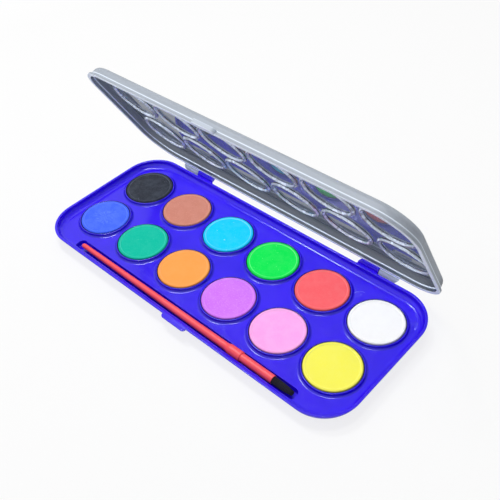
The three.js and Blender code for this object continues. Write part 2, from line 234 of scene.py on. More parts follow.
class Finish:
    """One material with its shader, or a world with its background, and the nodes that feed it."""

    def __init__(self, name, constants, kind="materials", shader="Principled BSDF"):
        self.material = getattr(bpy.data, kind).new(name)
        self.material.use_nodes = True
        self.tree = self.material.node_tree
        self.shader = self.tree.nodes[shader]
        self.feed(self.shader, constants)

    def feed(self, made, sockets):
        """Links signals to a node's sockets, and sets plain values on them."""
        for name, value in sockets.items():
            if isinstance(value, Signal):
                self.tree.links.new(value.socket, made.inputs[name])
            else:
                made.inputs[name].default_value = value

    def node(self, kind, sockets=None, output=0, **settings):
        """Any node: its settings are set first, and then the values or links of its sockets."""
        made = self.tree.nodes.new(kind)
        for name, value in settings.items():
            setattr(made, name, value)
        self.feed(made, sockets or {})
        return Signal(self, made.outputs[output])

    def show(self, colour, roughness, **more):
        """What varies from place to place."""
        self.feed(self.shader, {"Base Color": colour, "Roughness": roughness, **more})

    def place(self, centre=(0, 0, 0), turn=(0, 0, 0), stretch=(1, 1, 1)):
        """Object coordinates, turned and stretched, and then moved so that centre becomes 0."""
        shift = -Vector(centre)
        found = self.node("ShaderNodeTexCoord", output="Object")
        sockets = {"Vector": found, "Location": shift, "Rotation": turn, "Scale": stretch}
        return self.node("ShaderNodeMapping", sockets)

    def apart(self, place):
        """The three coordinates of a place, as separate signals."""
        return [self.node("ShaderNodeSeparateXYZ", {0: place}, output=axis) for axis in "XYZ"]

    def around(self, centre=(0, 0, 0)):
        """Where a place is from an upright axis: across, back, and how far from it."""
        across, back, _ = self.apart(self.place(centre))
        return across, back, length_of(across, back)

    def cloudy(self, scale, detail=3, roughness=0.5, place=None):
        """Soft noise from 0 to 1, with scale in blotches per metre."""
        spot = place or self.place()
        sockets = {"Vector": spot, "Scale": scale, "Detail": detail, "Roughness": roughness}
        return self.node("ShaderNodeTexNoise", sockets)

    def blotches(self, scale, level, softness, detail=3, roughness=0.5, place=None):
        """Separate blotches: 1 where soft noise is above a level, and 0 elsewhere."""
        return self.cloudy(scale, detail, roughness, place).above(level, softness)

    def blend(self, share, first, second):
        """A colour between two others."""
        sockets = {"Factor": share, "A": first, "B": second}
        return self.node("ShaderNodeMix", sockets, output="Result", data_type="RGBA")

    def bumped(self, height, depth, strength):
        sockets = {"Height": height, "Distance": depth, "Strength": strength}
        return self.node("ShaderNodeBump", sockets)

    def mixed(self, share, first, second):
        """One shader that turns into another as share goes from 0 to 1."""
        return self.node("ShaderNodeMixShader", {0: share, 1: first, 2: second})

    def surface(self, shader):
        """Puts a shader on the material's output."""
        self.feed(self.tree.nodes["Material Output"], {"Surface": shader})

    def principled(self):
        return Signal(self, self.shader.outputs[0])

    def ray(self, kind):
        """1 for one kind of ray, such as those from the camera, and 0 for the others."""
        return self.node("ShaderNodeLightPath", output=kind)

    def looked_at(self):
        """1 for a surface that is seen directly, in a mirror or through glass, and 0 in its light."""
        seen, mirrored, through = [self.ray(f"Is {kind} Ray") for kind in seeing_rays]
        return (seen + mirrored + through).above(0.5, 0.1)


# %% [markdown]
# ## Shapes
#
# Nearly everything in a moulded box is one of three shapes: a section spun about a cup's axis, a
# section drawn once round a rectangle with round corners, or a flat outline given a thickness. Each
# gets one small function here, built on a bmesh operator. The flat floor between them is filled
# last, from the open edges that they leave, so that cups and floor share their corners.

# %% Wires, arcs and spins
touch = 0.002 * mm

# The steps of an arc, from the long sweeps that catch the light to the finest edges.
sweep_steps = 12
hidden_steps = 10
bend_steps = 8
foot_steps = 7
round_steps = 5
fillet_steps = 4
edge_steps = 3
crown_steps = 2


def arc(across, height, radius, start, end, steps):
    """Points on an arc about (across, height), from one angle to another in quarter turns."""
    angles = [(start + (end - start) * step / steps) * quarter for step in range(steps + 1)]
    return [(across + radius * math.cos(a), height + radius * math.sin(a)) for a in angles]


def wire(mesh, points):
    """Joins points with edges, for an operator to spin or draw out."""
    corners = [mesh.verts.new(point) for point in points]
    return corners + [mesh.edges.new(pair) for pair in zip(corners, corners[1:])]


def only(kind, parts):
    return [part for part in parts if isinstance(part, kind)]


def moved_in(mesh, part):
    """Adds one mesh to another. A large mesh is slow to spin in, so parts are spun on their own."""
    data = bpy.data.meshes.new("part")
    part.to_mesh(data)
    part.free()
    mesh.from_mesh(data)
    bpy.data.meshes.remove(data)


def turned(mesh, profile, centre, steps):
    """Spins (radius, height) points about a vertical axis."""
    part = bmesh.new()
    section = wire(part, [(centre.x + radius, centre.y, height) for radius, height in profile])
    foot = (centre.x, centre.y, 0)
    bmesh.ops.spin(
        part, geom=section, cent=foot, axis=up, angle=full_turn, steps=steps, use_merge=True
    )
    moved_in(mesh, part)


def panned(mesh, section, length, steps):
    """Draws (inset, height) points once round a rectangle with round corners."""
    pull_x = length / 2 - corner_radius
    pull_y = box_width / 2 - corner_radius
    start = pull_x + corner_radius
    last = wire(mesh, [(start - inset, box_centre_y + pull_y, height) for inset, height in section])
    for side_x, side_y in ((1, 1), (-1, 1), (-1, -1), (1, -1)):
        centre = (side_x * pull_x, box_centre_y + side_y * pull_y, 0)
        spun = bmesh.ops.spin(mesh, geom=last, cent=centre, axis=up, angle=quarter, steps=steps)
        edges = only(bmesh.types.BMEdge, spun["geom_last"])
        drawn = bmesh.ops.extrude_edge_only(mesh, edges=edges)["geom"]
        ends = only(bmesh.types.BMVert, drawn)
        run = (-2 * pull_x, 0, 0) if side_y > 0 else (2 * pull_x, 0, 0)
        if side_x != side_y:
            run = (0, -2 * side_y * pull_y, 0)
        bmesh.ops.translate(mesh, verts=ends, vec=run)
        last = ends + [edge for edge in only(bmesh.types.BMEdge, drawn) if not edge.link_faces[1:]]


# %% Flats, prisms and joining
def edges_where(mesh, test):
    """The edges with both ends at places that pass a test."""
    return [edge for edge in mesh.edges if all(test(corner.co) for corner in edge.verts)]


def steep(edges):
    """Those edges that don't lie level."""
    return [edge for edge in edges if abs(edge.verts[0].co.z - edge.verts[1].co.z) > touch]


def filled(mesh, height):
    """Fills the open loops at one height with one flat, and leaves the loops inside it open."""
    level = edges_where(mesh, lambda spot: abs(spot.z - height) < touch)
    rim = [edge for edge in level if edge.is_boundary]
    bmesh.ops.triangle_fill(mesh, edges=rim, use_beauty=True, normal=up)


def closed(mesh):
    """Merges the corners that coincide, and turns every face outwards."""
    bmesh.ops.remove_doubles(mesh, verts=mesh.verts, dist=touch)
    bmesh.ops.recalc_face_normals(mesh, faces=mesh.faces)


def prism(mesh, outline, run):
    """Gives a flat outline, a list of points, a thickness along run."""
    face = mesh.faces.new([mesh.verts.new(point) for point in outline])
    drawn = bmesh.ops.extrude_face_region(mesh, geom=[face])["geom"]
    bmesh.ops.translate(mesh, verts=only(bmesh.types.BMVert, drawn), vec=run)
    closed(mesh)


def rounded(mesh, edges, radius, steps):
    bmesh.ops.bevel(
        mesh,
        geom=edges,
        offset=radius,
        offset_type="OFFSET",
        affect="EDGES",
        segments=steps,
        profile=0.5,
        material=-1,
    )


def block(mesh, low, high):
    """A box between two corners."""
    size = Vector(high) - Vector(low)
    middle = (Vector(high) + Vector(low)) / 2
    made = bmesh.ops.create_cube(mesh, size=1)
    bmesh.ops.scale(mesh, verts=made["verts"], vec=size)
    bmesh.ops.translate(mesh, verts=made["verts"], vec=middle)


def rod(mesh, start, end, radius, steps):
    """A plain round bar between two points on a line along X."""
    lying = Matrix.Translation((start + end) / 2) @ Matrix.Rotation(quarter, 4, "Y")
    bmesh.ops.create_cone(
        mesh,
        cap_ends=True,
        segments=steps,
        radius1=radius,
        radius2=radius,
        depth=(end - start).length,
        matrix=lying,
    )


# %% Solids, booleans and finished pieces
def solid(name, mesh):
    """Makes an object of a mesh."""
    data = bpy.data.meshes.new(name)
    mesh.to_mesh(data)
    mesh.free()
    made = bpy.data.objects.new(name, data)
    bpy.context.scene.collection.objects.link(made)
    return made


def settled(piece):
    """Puts what the modifiers make of a mesh into the mesh itself."""
    graph = bpy.context.evaluated_depsgraph_get()
    data = bpy.data.meshes.new_from_object(piece.evaluated_get(graph))
    piece.modifiers.clear()
    piece.data = data


def merged(base, tool, operation):
    """Adds, cuts or keeps the overlap of two closed solids, and deletes the tool."""
    boolean = base.modifiers.new("merged", "BOOLEAN")
    boolean.operation = operation
    boolean.solver = "EXACT"
    boolean.object = tool
    settled(base)
    bpy.data.objects.remove(tool)
    mesh = bmesh.new()
    mesh.from_mesh(base.data)
    bmesh.ops.remove_doubles(mesh, verts=mesh.verts, dist=touch)
    bmesh.ops.dissolve_degenerate(mesh, edges=mesh.edges, dist=touch)
    mesh.to_mesh(base.data)
    mesh.free()
    return base


def finished(piece, finish, body, node, crease_degrees=35, reshaded=None):
    """Gives a piece its finish, even shading and its body, and hides the solid that it stands for."""
    piece.data.materials.clear()
    piece.data.materials.append(finish.material)
    piece.data.polygons.foreach_set("use_smooth", [True] * len(piece.data.polygons))
    piece.data.set_sharp_from_angle(angle=math.radians(crease_degrees))
    shading = piece.modifiers.new("even_shading", "WEIGHTED_NORMAL")
    shading.keep_sharp = True
    if reshaded:
        reshaded(piece)
    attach(piece, body)
    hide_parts(node)
    print(piece.name, len(piece.data.polygons), "faces")


# %% [markdown]
# ## The tray
#
# The real tray is one injection moulding about 1 mm thick. Its rim is a narrow flat land with a
# small flange outside and a soft concave fillet inside, and light draws a line along that fillet all
# the way round. Each cup rises through the floor as a ring with a fillet at its foot. A pan made by
# carving would leave facets exactly there, so the section is drawn round in fine steps instead.

# %% The shell of the tray, with its twelve cups
corner_steps = 20
turn_steps = 72
edge_round = 0.2 * mm
wall_radius = flange_underside - floor_top
floor_inset = rim_inset + wall_radius
ring_fillet = 1.4 * mm
ring_round = 0.3 * mm
well_fillet = 0.5 * mm
cup_round = 0.8 * mm


def tray_section():
    """Underside, outer wall, flange, land, inner wall and floor, as (inset, height) points."""
    outer_radius = wall_radius + wall
    return [
        *arc(floor_inset, flange_underside, outer_radius, -1, -2, hidden_steps),
        *arc(edge_round, flange_underside + edge_round, edge_round, -1, -2, edge_steps),
        *arc(edge_round, rim_top - edge_round, edge_round, 2, 1, edge_steps),
        *arc(rim_land, rim_top - rim_round, rim_round, 1, 0, round_steps),
        *arc(floor_inset, flange_underside, wall_radius, -2, -1, sweep_steps),
    ]


def cup_inside():
    foot = ring_radius + ring_fillet
    return [
        *arc(foot, floor_top + ring_fillet, ring_fillet, -1, -2, foot_steps),
        *arc(ring_radius - ring_round, ring_top - ring_round, ring_round, 0, 1, fillet_steps),
        *arc(well_radius + ring_round, ring_top - ring_round, ring_round, 1, 2, fillet_steps),
        *arc(well_radius - well_fillet, wall + well_fillet, well_fillet, 0, -1, fillet_steps),
        (0, wall),
    ]


def cup_outside():
    outside = arc(ring_radius - cup_round, cup_round, cup_round, 0, -1, round_steps)
    return [(ring_radius, floor_underside), *outside, (0, 0)]


def shell(name, section, length, spun, levels):
    """A pan with something spun about the axis of each cup, and its flats filled at some levels."""
    mesh = bmesh.new()
    panned(mesh, section, length, corner_steps)
    for centre in cups.values():
        for profile in spun:
            turned(mesh, profile, centre, turn_steps)
    bmesh.ops.remove_doubles(mesh, verts=mesh.verts, dist=touch)
    for height in levels:
        filled(mesh, height)
    closed(mesh)
    open_edges = [edge for edge in mesh.edges if not edge.is_manifold]
    print(name, len(mesh.faces), "faces,", len(open_edges), "open edges")
    return solid(name, mesh)


cup_profiles = (cup_inside(), cup_outside())
tray_levels = (floor_top, floor_underside)
tray = shell("tray_body", tray_section(), box_length, cup_profiles, tray_levels)

# %% [markdown]
# The groove for the brush is a trough that hangs under the floor, and its front wall leans, which
# leaves room for a fingertip. It breaks through the fillet of the front rim, and that cut is not a
# shape that any spin makes, so the trough is added and the groove taken out as solids.

# %% The groove for the brush
groove_corner = 2.5 * mm
groove_fillet = 0.6 * mm
ledge_height = flange_underside + flange / 8
clearance_above = 1 * mm
lean = (groove_floor_front - groove_front) / (ledge_height - wall)


def trough_block(margin, bottom, top, fillet):
    """A box over the groove grown by a margin, with its front leaning below the ledge."""
    mesh = bmesh.new()
    outwards = margin * math.hypot(1, lean)
    front_at_top = groove_front + lean * max(ledge_height - top, 0) - outwards
    front_at_bottom = groove_front + lean * (ledge_height - bottom) - outwards
    half = groove_half + margin
    block(mesh, (-half, front_at_top, bottom), (half, groove_back + margin, top))
    if top > ledge_height:
        everything = mesh.verts[:] + mesh.edges[:] + mesh.faces[:]
        ledge = (0, 0, ledge_height)
        bmesh.ops.bisect_plane(mesh, geom=everything, plane_co=ledge, plane_no=up)
    for corner in mesh.verts:
        if corner.co.y < front_at_top + touch and corner.co.z < bottom + touch:
            corner.co.y = front_at_bottom
    rounded(mesh, steep(mesh.edges), groove_corner + margin, bend_steps)
    foot = edges_where(mesh, lambda spot: spot.z < bottom + touch)
    rounded(mesh, foot, fillet, fillet_steps)
    closed(mesh)
    return solid("trough", mesh)


trough = trough_block(wall, 0, floor_top - wall / 10, cup_round)
groove = trough_block(0, wall, rim_top + clearance_above, groove_fillet)

# %% [markdown]
# The hinge is moulded on. Two blue knuckles with outward pins stand on the tray, and each pin snaps
# into a clear knuckle of the lid. A knuckle is a round bar with an arm that ends at the parting
# plane, cut off by a slanting gusset, so it is the overlap of two prisms: one seen from the end of
# the hinge line and one seen from above.

# %% Knuckles, pins and tabs
barrel_radius = 2.4 * mm
hinge_from_end = 39.2 * mm
hinge_end = box_length / 2 - hinge_from_end
knuckle_gap = 0.5 * mm
pin_radius = 1 * mm
pin_length = 8 * mm
barrel_steps = 40
spare = 0.5 * mm
tab_reach = 2 * mm
tab_round = 1.8 * mm


def knuckle(start, direction, length, gusset, seat, side):
    """A knuckle about the hinge line. side is 1 for the lid's, above it, and -1 for the tray's."""
    shoulder = math.atan2(half_gap, -math.sqrt(barrel_radius**2 - half_gap**2)) / quarter
    reach = -(setback + seat)
    barrel = arc(0, 0, barrel_radius, shoulder, 5, barrel_steps)
    section = [(reach, half_gap), *barrel, (reach, barrel_radius)]
    end = start + direction * (length + gusset)
    barrel_end = start + direction * length
    mesh = bmesh.new()
    corners = [(start, hinge_y + y, hinge_z + side * z) for y, z in section]
    prism(mesh, corners, (end - start, 0, 0))
    body = solid("knuckle", mesh)
    plan = [
        (start, reach - spare),
        (start, barrel_radius + spare),
        (barrel_end, barrel_radius + spare),
        (barrel_end, 0),
        (end, -setback),
        (end, reach - spare),
    ]
    mesh = bmesh.new()
    below = hinge_z - barrel_radius - spare
    prism(mesh, [(x, hinge_y + y, below) for x, y in plan], (0, 0, 2 * (barrel_radius + spare)))
    return merged(body, solid("knuckle_plan", mesh), "INTERSECT")


def tab(centre, width, edge_y, low, high):
    """A thumb tab on the front rim, with its two outer corners rounded."""
    mesh = bmesh.new()
    left = centre - width / 2
    right = centre + width / 2
    block(mesh, (left, edge_y - tab_reach, low), (right, edge_y + rim_land, high))
    outer = edges_where(mesh, lambda spot: spot.y < edge_y - touch)
    rounded(mesh, steep(outer), tab_round, bend_steps)
    crown = edges_where(mesh, lambda spot: spot.z > high - touch)
    rounded(mesh, crown, edge_round, crown_steps)
    closed(mesh)
    return solid("tab", mesh)


def bar(start, direction, length, radius):
    """A round bar on the hinge line."""
    mesh = bmesh.new()
    first = hinge + along * start
    rod(mesh, first, first + along * direction * length, radius, barrel_steps)
    closed(mesh)
    return solid("bar", mesh)


# %% Put the tray together
tray_tab = {"centre": 8 * mm, "width": 16.6 * mm}
tray_knuckle = {"length": 10 * mm, "gusset": 3 * mm}
crease_inset = 1 * mm
crease_setback = 1.8 * mm
crease_width = 0.35 * mm
crease_depth = 0.3 * mm


def crease(side):
    """The fine step along the top of a blue knuckle, left by the slide of the mould."""
    mesh = bmesh.new()
    inner_end = hinge_end - tray_knuckle["length"]
    ends = sorted((side * (hinge_end - crease_inset), side * inner_end))
    line_y = hinge_y - crease_setback
    shoulder = hinge_z + math.sqrt(barrel_radius**2 - (line_y - hinge_y) ** 2)
    low = (ends[0], line_y - crease_width / 2, shoulder - crease_depth)
    high = (ends[1], line_y + crease_width / 2, shoulder + barrel_radius)
    block(mesh, low, high)
    return solid("crease", mesh)


def tray_fittings():
    """The trough, the knuckles with their pins, and the thumb tab, as one solid."""
    made = trough
    for side in (-1, 1):
        end = side * hinge_end
        blue = knuckle(end, -side, **tray_knuckle, seat=rim_land, side=-1)
        blue = merged(blue, bar(end - side * spare, side, pin_length + spare, pin_radius), "UNION")
        blue = merged(blue, crease(side), "DIFFERENCE")
        made = merged(made, blue, "UNION")
    thumb_tab = tab(**tray_tab, edge_y=rim_front, low=flange_underside, high=rim_top)
    return merged(made, thumb_tab, "UNION")


tray = merged(tray, tray_fittings(), "UNION")
tray = merged(tray, groove, "DIFFERENCE")
print("tray with its fittings", len(tray.data.vertices), "corners")

# %% [markdown]
# The plastic is a saturated ultramarine with a satin gloss. A moulded surface is never quite even:
# the colour drifts a little where the melt flowed, the gloss is duller in places that hands and wet
# brushes rub, and a very fine ripple breaks up the reflections of the lamps. A little dust lies on it.
# Shade is painted into the colour as well: a darker blue at the foot of each ring, and a near black in
# the wells round the cakes, where little light gets in.

# %% How far a place is from the nearest cup
def from_cup_axis(across, back):
    """Folds the grid of cups onto one cup and measures from its axis. across is taken without sign."""
    over_x = across % pitch_x - pitch_x / 2
    over_y = abs(back) - pitch_y / 2
    past_the_last = across.above(cakes_per_row / 2 * pitch_x, touch)
    return length_of(over_x, over_y) + past_the_last * box_length


# %% A fine scratch beside the red cake
scratch_from_cake = Vector((16.85, 9.25, 0)) * mm
scratch_centre = cups["red"] + scratch_from_cake
scratch_radius = 3.8 * mm
scratch_half = 0.09 * mm
scratch_middle = 1.5 * quarter


def scratch(finish):
    """A short curved hairline, a part of a circle, on the floor of the tray."""
    across, back, from_centre = finish.around(scratch_centre)
    line = from_centre.near(scratch_radius, scratch_half, scratch_half / 2)
    return line * back.turn_from(across).near(scratch_middle, quarter / 2, quarter / 6)


# %% Blue moulded plastic
tray_patterns = {
    "flow": {"scale": 45, "level": 0.5, "softness": 0.3},
    "rubbed": {"scale": 260, "level": 0.58, "softness": 0.12},
    "dust": {"scale": 520, "detail": 5, "level": 0.76, "softness": 0.02, "roughness": 0.7},
}
tray_ripple = {"scale": 350, "detail": 2}
tray_bump = {"depth": 0.02 * mm, "strength": 0.2}
tray_colours = {
    "plain": shade(40, 2, 222),
    "flow": shade(50, 6, 236),
    # Painted shade: the next two colours darken the foot of each ring and the well round each cake.
    "foot": shade(24, 0, 190),
    "painted_well_shade": shade(10, 0, 106),
    "dust": shade(150, 140, 250),
}
colour_shares = {"flow": 1, "foot": 0.8, "painted_well_shade": 1, "dust": 0.5}
roughness_shares = {"plain": 0.18, "rubbed": 0.06, "dust": 0.3}


def tray_colour(finish, flow, dust):
    """Layers of colour: plain plastic, its drift, painted shade at ring feet and in wells, and dust."""
    across, back, _ = finish.apart(finish.place())
    from_axis = from_cup_axis(abs(across), back)
    # Painted shade at the foot of each ring, and near black in the well between each cake and its ring.
    foot = from_axis.near(ring_radius + ring_fillet / 4, ring_fillet / 2, ring_fillet / 3)
    painted_well_shade = 1 - from_axis.above(well_radius + ring_round, ring_round / 2)
    tone = tray_colours["plain"]
    for name, layer in {"flow": flow, "foot": foot, "painted_well_shade": painted_well_shade, "dust": dust}.items():
        tone = finish.blend(layer * colour_shares[name], tone, tray_colours[name])
    return tone


def blue_plastic():
    finish = Finish("blue_moulded_plastic", {"Specular IOR Level": 0.5})
    flow, rubbed, dust = [finish.blotches(**pattern) for pattern in tray_patterns.values()]
    dust = dust.or_more(scratch(finish))
    dull = rubbed * roughness_shares["rubbed"] + dust * roughness_shares["dust"]
    ripple = finish.bumped(finish.cloudy(**tray_ripple), **tray_bump)
    colour = tray_colour(finish, flow, dust)
    finish.show(colour, roughness_shares["plain"] + dull, Normal=ripple)
    return finish


finished(tray, blue_plastic(), "tray", "tray")

# %% [markdown]
# ## The paint cakes
#
# A cake is pressed from damp pigment and dries matt. Its edge is slightly broken, the punch leaves a
# shallow step near the edge, and the face is never flat or one colour. The section is spun with many
# radial steps, so that the corners can then be moved by a little noise that is different on each cake.

# %% The shape of a cake
cake_bevel = 0.7 * mm
cake_border = 1.3 * mm
cake_dish = 0.25 * mm
border_slope = 0.2 * mm
face_steps = 12
cake_steps = 96
swell_length = 7 * mm
swell_height = 0.07 * mm
grain_length = 1.3 * mm
grain_height = 0.035 * mm
noise_room = 0.06 * mm


def cake_profile():
    border = cake_radius - cake_border
    dished = cake_top - cake_dish
    inner = border - border_slope
    face = [(inner * (face_steps - k) / face_steps, dished) for k in range(face_steps + 1)]
    return [
        (0, cake_bottom),
        (cake_radius - cake_bevel, cake_bottom),
        (cake_radius, cake_bottom + cake_bevel),
        (cake_radius, (cake_bottom + cake_top) / 2),
        *arc(cake_radius - cake_bevel, cake_top - cake_bevel, cake_bevel, 0, 1, round_steps),
        (cake_radius - cake_border / 2, cake_top),
        (border, cake_top),
        *face,
    ]


def make_cake(name, centre, index):
    mesh = bmesh.new()
    turned(mesh, cake_profile(), centre, cake_steps)
    closed(mesh)
    own_place = Vector((index, -index, 2 * index))
    for corner in mesh.verts:
        if corner.co.z > (cake_bottom + cake_top) / 2:
            swell = noise.noise(corner.co / swell_length + own_place) * swell_height
            grain = noise.noise(corner.co / grain_length + own_place) * grain_height
            corner.co.z += swell + grain - noise_room
    return solid("cake_" + name, mesh)


# %% [markdown]
# Each cake gets the same few layers in its own strength: a slow drift of tone, fine specks of coarser
# pigment, a few small chips where the surface broke and shows a lighter inside, and a dusty grain.
# The border that the punch left is rubbed a little lighter, and the blue cake shows marks that run out
# from its middle. All of them read the place on the object, and the round ones a cake's own centre.

# %% The finish of a cake
paint_patterns = {
    "drift": {"scale": 170, "detail": 5, "level": 0.52, "softness": 0.14, "roughness": 0.7},
    "specks": {"scale": 1500, "detail": 2, "level": 0.62, "softness": 0.05},
    "chips": {"scale": 420, "detail": 6, "level": 0.675, "softness": 0.015, "roughness": 0.75},
}
paint_grain = {"scale": 2600, "roughness": 0.7}
paint_bump = {"depth": 0.05 * mm, "strength": 0.5}
paint_roughness = 0.68
grain_roughness = 0.2
line_share = 0.45
line_half = 0.2 * mm
line_softness = 0.15 * mm
ray_pattern = {"scale": 3, "level": 0.55, "softness": 0.12, "roughness": 0.6}
ray_width = 1.6
ray_length = 120


def border_line(finish, centre):
    """1 along the foot of the border, where a lighter dust gathers."""
    _, _, from_centre = finish.around(centre)
    line = cake_radius - cake_border - border_slope / 2
    return from_centre.near(line, line_half, line_softness)


def rays_from(finish, centre):
    """Soft streaks that run out from the centre of a cake."""
    across, back, from_centre = finish.around(centre)
    turn_and_reach = {"X": back.turn_from(across) * ray_width, "Y": from_centre * ray_length}
    spot = finish.node("ShaderNodeCombineXYZ", turn_and_reach)
    inwards = 1 - from_centre.above(cake_radius / 2, cake_radius / 3)
    return finish.blotches(**ray_pattern, place=spot) * inwards


def paint_finish(name, centre, colour, patch, shares):
    """Matt pressed pigment. The shares are those of the drift, the specks, the chips and the rays."""
    *pattern_shares, ray_share = shares
    finish = Finish("pressed_" + name, {"Specular IOR Level": 0.12})
    layers = border_line(finish, centre) * line_share
    for pattern, share in zip(paint_patterns.values(), pattern_shares):
        layers = layers.or_more(finish.blotches(**pattern) * share)
    if ray_share:
        layers = layers.or_more(rays_from(finish, centre) * ray_share)
    grain = finish.cloudy(**paint_grain)
    roughness = paint_roughness + grain * grain_roughness
    bump = finish.bumped(grain, **paint_bump)
    finish.show(finish.blend(layers, colour, patch), roughness, Normal=bump)
    return finish


# %% The twelve colours
cake_crease_degrees = 50
paint_colours = {
    "blue": ((64, 100, 250), (132, 168, 255)),
    "teal": ((2, 186, 156), (110, 222, 204)),
    "orange": ((252, 160, 78), (255, 196, 136)),
    "violet": ((208, 116, 246), (238, 176, 252)),
    "pink": ((252, 166, 232), (255, 208, 244)),
    "yellow": ((246, 240, 88), (252, 250, 160)),
    "black": ((44, 47, 54), (120, 128, 144)),
    "brown": ((204, 130, 110), (236, 176, 156)),
    "cyan": ((2, 204, 250), (190, 246, 255)),
    "green": ((0, 230, 80), (170, 250, 190)),
    "red": ((252, 98, 102), (255, 160, 160)),
    "white": ((250, 247, 243), (255, 254, 252)),
}
paint_shares = {
    "blue": (0.15, 0.2, 0.6, 0.4),
    "teal": (0.06, 0.12, 0.4, 0),
    "orange": (0.08, 0.12, 0.25, 0),
    "violet": (0.15, 0.4, 0.3, 0),
    "pink": (0.2, 0.2, 0.3, 0),
    "yellow": (0.1, 0.12, 0.2, 0),
    "black": (0.15, 0.2, 0.8, 0),
    "brown": (0.15, 0.35, 0.4, 0),
    "cyan": (0.05, 0.06, 1, 0),
    "green": (0.04, 0.06, 0.9, 0),
    "red": (0.12, 0.15, 0.3, 0),
    "white": (0.3, 0.3, 0.3, 0),
}
for index, (name, centre) in enumerate(cups.items()):
    cake = make_cake(name, centre, index)
    colours = [shade(*colour) for colour in paint_colours[name]]
    paint = paint_finish(name, centre, *colours, paint_shares[name])
    finished(cake, paint, "tray", "paint_cake_" + name, cake_crease_degrees)


# %% [markdown]
# ## The brush
#
# The brush is a cheap one, all in coral red: a thin handle that tapers to a round end, a thicker
# collar, a plastic tube that holds the hair, and a short black tuft. The hard parts are spun about
# the brush's own line. The tuft is a bundle of separate tapering hairs on a plug, laid out on a
# sunflower spiral so that they fill the round without touching in rows.

# %% The brush's line and its sizes
brush_y = groove_back - brush_gap - collar_radius
brush_z = wall + brush_gap + collar_radius
handle_room = 3.4 * mm
tip_room = 1.6 * mm
bristle_length = 12 * mm
ferrule_length = 19.9 * mm
ferrule_radius = 2.2 * mm
ferrule_bore = 1.95 * mm
collar_length = 8 * mm
handle_start = handle_room - groove_half
ferrule_end = groove_half - tip_room - bristle_length
collar_end = ferrule_end - ferrule_length
collar_start = collar_end - collar_length
socket_depth = 5 * mm
socket_gap = 0.1 * mm
brush_steps = 48
onto_brush = Matrix.Translation((0, brush_y, brush_z)) @ Matrix.Rotation(quarter, 4, "Y")
print("brush", round((ferrule_end + bristle_length - handle_start) / mm, 1), "mm long")


def spun_brush(name, profile):
    """Spins (radius, place along X) points about the brush's line."""
    mesh = bmesh.new()
    turned(mesh, profile, Vector((0, 0, 0)), brush_steps)
    bmesh.ops.transform(mesh, matrix=onto_brush, verts=mesh.verts)
    closed(mesh)
    return solid(name, mesh)


# %% Handle, collar and tube
end_radius = 1.4 * mm
handle_radius = 2.05 * mm
handle_chamfer = 2 * mm
collar_round = 0.5 * mm
ferrule_round = 0.12 * mm
coral_drift = {"scale": 90, "level": 0.5, "softness": 0.25}
coral_ripple = {"scale": 700, "detail": 2}
coral_bump = {"depth": 0.03 * mm, "strength": 0.3}
coral_roughness = 0.34
ripple_roughness = 0.1


def handle_profile():
    soft = collar_round
    socket = ferrule_radius + socket_gap
    nose = arc(0, handle_start + end_radius, end_radius, -1, 0, bend_steps)
    nose[0] = (0, handle_start)
    return [
        *nose,
        (handle_radius, collar_start - handle_chamfer),
        (handle_radius + soft / 4, collar_start - handle_chamfer + soft),
        *arc(collar_radius - soft, collar_start + soft, soft, -0.5, 0, fillet_steps),
        *arc(collar_radius - soft, collar_end - soft, soft, 0, 1, round_steps),
        (socket, collar_end),
        (socket, collar_end - socket_depth),
        (0, collar_end - socket_depth),
    ]


def ferrule_profile():
    start = collar_end - socket_depth + brush_gap
    soft = ferrule_round
    return [
        (ferrule_bore, start),
        (ferrule_radius, start),
        *arc(ferrule_radius - soft, ferrule_end - soft, soft, 0, 1, edge_steps),
        *arc(ferrule_bore + soft, ferrule_end - soft, soft, 1, 2, edge_steps),
        (ferrule_bore, start),
    ]


def coral_plastic(name):
    finish = Finish(name, {"Specular IOR Level": 0.5})
    ripple = finish.cloudy(**coral_ripple)
    colour = finish.blend(finish.blotches(**coral_drift), shade(246, 72, 80), shade(252, 84, 90))
    roughness = coral_roughness + ripple * ripple_roughness
    finish.show(colour, roughness, Normal=finish.bumped(ripple, **coral_bump))
    return finish


handle = spun_brush("brush_handle_moulding", handle_profile())
finished(handle, coral_plastic("coral_plastic"), "brush", "brush_handle")
ferrule = spun_brush("brush_tube", ferrule_profile())
finished(ferrule, coral_plastic("coral_tube"), "brush", "brush_ferrule")

# %% The tuft
hair_count = 520
hair_steps = 4
hair_radius = 0.062 * mm
golden_angle = math.pi * (3 - math.sqrt(5))
bundle_gap = 0.2 * mm
tip_trim = 0.2 * mm
tip_rounding = 1.6 * mm
wander_reach = 0.12 * mm
root_depth = 0.5 * mm
plug_depth = 3 * mm
plug_gap = 0.1 * mm
swell_share = 0.1
taper_share = 0.3
tip_share = 0.4


def hair_line(index, chance):
    """Places along one hair, as offsets from the brush's line, from its root to its tip."""
    share = math.sqrt((index + 0.5) / hair_count)
    angle = index * golden_angle
    outwards = Vector((0, math.cos(angle), math.sin(angle)))
    spread = (ferrule_bore - bundle_gap) * share
    length = bristle_length - tip_trim - tip_rounding * share**2 * chance.random()
    wander = chance.uniform(-wander_reach, wander_reach)
    sideways = outwards.cross(along)
    points = []
    for step in range(hair_steps + 1):
        run = step / hair_steps
        squeeze = 1 + swell_share * math.sin(run * math.pi) - taper_share * run**2
        place = along * (ferrule_end - root_depth + run * (length + root_depth))
        points.append(place + outwards * spread * squeeze + sideways * wander * run**2)
    return points


